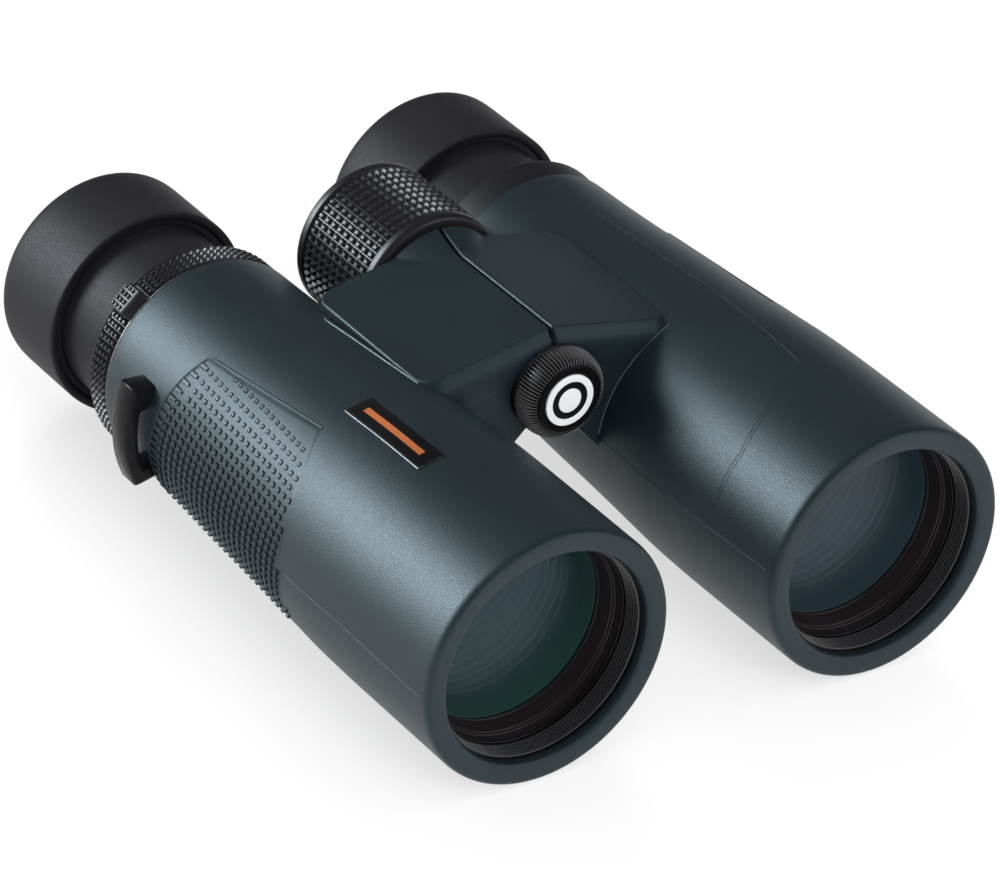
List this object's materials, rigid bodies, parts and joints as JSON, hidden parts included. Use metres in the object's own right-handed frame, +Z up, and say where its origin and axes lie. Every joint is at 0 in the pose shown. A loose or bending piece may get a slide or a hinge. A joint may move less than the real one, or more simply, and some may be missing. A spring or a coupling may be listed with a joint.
{
  "type": "roof-prism binoculars",
  "caption": "Green rubber-armoured roof-prism binoculars with a folding centre hinge, focus wheel, dioptre ring, twist-up eyecups, strap lugs and a capped tripod socket.",
  "frame": {"origin": "the centre of the bounding box's bottom face, on the floor under the centre hinge", "axes": "+Y along the barrels from the objectives to the eyepieces, +Z up from the floor the barrels lie on, +X towards the user's left barrel"},
  "size_m": [0.1296, 0.1572, 0.0583],
  "materials": {
    "green_rubber": "fine grained matt",
    "cast_alloy": "painted cast alloy, satin",
    "black_plastic": "fine spark-eroded texture",
    "black_rubber": "matt",
    "black_alloy": "black anodised",
    "lens_glass": "polished with a green anti-reflection coating",
    "prism_glass": "polished",
    "steel": "turned",
    "brass": "turned",
    "badge_plate": "gloss with a bright edge",
    "disc_paint": "gloss"
  },
  "bodies": {
    "left_half": {"left_armour": "green_rubber", "left_housing": "cast_alloy", "left_bridge": "cast_alloy", "left_cover": "green_rubber", "left_strap_lug": "black_plastic", "left_objective_ring": "black_alloy", "left_objective_cell": "black_alloy", "left_front_lens": "lens_glass", "left_back_lens": "lens_glass", "left_baffle": "black_alloy", "left_prism_cage": "cast_alloy", "left_front_prism": "prism_glass", "left_roof_prism": "prism_glass", "left_eyepiece_tube": "black_plastic", "left_field_cell": "cast_alloy", "left_field_lens": "lens_glass", "left_eye_lens": "lens_glass", "left_eye_retainer": "black_alloy", "left_collar": "black_plastic", "hinge_tube": "steel", "tripod_bush": "brass"},
    "right_half": {"right_armour": "green_rubber", "right_housing": "cast_alloy", "right_bridge": "cast_alloy", "right_cover": "green_rubber", "right_strap_lug": "black_plastic", "badge": "badge_plate", "right_objective_ring": "black_alloy", "right_objective_cell": "black_alloy", "right_front_lens": "lens_glass", "right_back_lens": "lens_glass", "right_baffle": "black_alloy", "right_prism_cage": "cast_alloy", "right_front_prism": "prism_glass", "right_roof_prism": "prism_glass", "right_eyepiece_tube": "black_plastic", "right_eye_lens": "lens_glass", "right_eye_retainer": "black_alloy"},
    "left_focus": {"left_focus_cell": "cast_alloy", "left_focus_lens": "lens_glass"},
    "right_focus": {"right_focus_cell": "cast_alloy", "right_focus_lens": "lens_glass"},
    "drive_nut": {"drive_nut": "brass"},
    "focus_wheel": {"wheel_core": "black_plastic", "wheel_grip": "black_rubber", "wheel_end": "black_plastic", "drive_screw": "steel"},
    "diopter_ring": {"diopter_ring": "black_plastic"},
    "diopter_cell": {"diopter_cell": "cast_alloy", "diopter_lens": "lens_glass"},
    "left_cup_guide": {"left_cup_guide": "cast_alloy"},
    "right_cup_guide": {"right_cup_guide": "cast_alloy"},
    "left_eyecup": {"left_cup_sleeve": "black_plastic", "left_eyecup": "black_rubber"},
    "right_eyecup": {"right_cup_sleeve": "black_plastic", "right_eyecup": "black_rubber"},
    "cap_washer": {"cap_washer": "black_rubber"},
    "tripod_cap": {"tripod_cap": "black_plastic", "cap_disc": "disc_paint"}
  },
  "joints": [
    {"name": "fold", "type": "hinge", "parent": "left_half", "child": "right_half", "pos_m": [0, -0.00255, 0.04255], "axis": [0, -1, 0], "range_deg": [0, 46]},
    {"name": "focus_turn", "type": "hinge", "parent": "left_half", "child": "focus_wheel", "pos_m": [0, 0.02945, 0.04255], "axis": [0, 1, 0], "range_deg": [-270, 270]},
    {"name": "nut_slide", "type": "slide", "parent": "left_half", "child": "drive_nut", "axis": [0, 1, 0], "range_m": [-0.003, 0.003]},
    {"name": "left_focus_slide", "type": "slide", "parent": "left_half", "child": "left_focus", "axis": [0, 1, 0], "range_m": [-0.003, 0.003]},
    {"name": "right_focus_slide", "type": "slide", "parent": "right_half", "child": "right_focus", "axis": [0, 1, 0], "range_m": [-0.003, 0.003]},
    {"name": "diopter_turn", "type": "hinge", "parent": "right_half", "child": "diopter_ring", "pos_m": [-0.0376, 0.04045, 0.026], "axis": [0, 1, 0], "range_deg": [-35, 35]},
    {"name": "diopter_slide", "type": "slide", "parent": "right_half", "child": "diopter_cell", "axis": [0, 1, 0], "range_m": [-0.001, 0.001]},
    {"name": "left_cup_slide", "type": "slide", "parent": "left_half", "child": "left_cup_guide", "axis": [0, -1, 0], "range_m": [0, 0.014]},
    {"name": "left_cup_twist", "type": "hinge", "parent": "left_cup_guide", "child": "left_eyecup", "pos_m": [0.0376, 0.06845, 0.026], "axis": [0, -1, 0], "range_deg": [0, 200]},
    {"name": "right_cup_slide", "type": "slide", "parent": "right_half", "child": "right_cup_guide", "axis": [0, -1, 0], "range_m": [0, 0.014]},
    {"name": "right_cup_twist", "type": "hinge", "parent": "right_cup_guide", "child": "right_eyecup", "pos_m": [-0.0376, 0.06845, 0.026], "axis": [0, -1, 0], "range_deg": [0, 200]},
    {"name": "cap_slide", "type": "slide", "parent": "left_half", "child": "cap_washer", "axis": [0, -1, 0], "range_m": [0, 0.01]},
    {"name": "cap_turn", "type": "hinge", "parent": "cap_washer", "child": "tripod_cap", "pos_m": [0, -0.02555, 0.04255], "axis": [0, -1, 0], "range_deg": [0, 2880]}
  ],
  "couplings": [
    {"joint": "nut_slide", "follows": "focus_turn", "m_per_rad": 0.00063662},
    {"joint": "left_focus_slide", "follows": "focus_turn", "m_per_rad": 0.00063662},
    {"joint": "right_focus_slide", "follows": "focus_turn", "m_per_rad": 0.00063662},
    {"joint": "diopter_slide", "follows": "diopter_turn", "m_per_rad": 0.001637},
    {"joint": "left_cup_slide", "follows": "left_cup_twist", "m_per_rad": 0.0040107},
    {"joint": "right_cup_slide", "follows": "right_cup_twist", "m_per_rad": 0.0040107},
    {"joint": "cap_turn", "follows": "cap_slide", "rad_per_m": 5026.5}
  ]
}
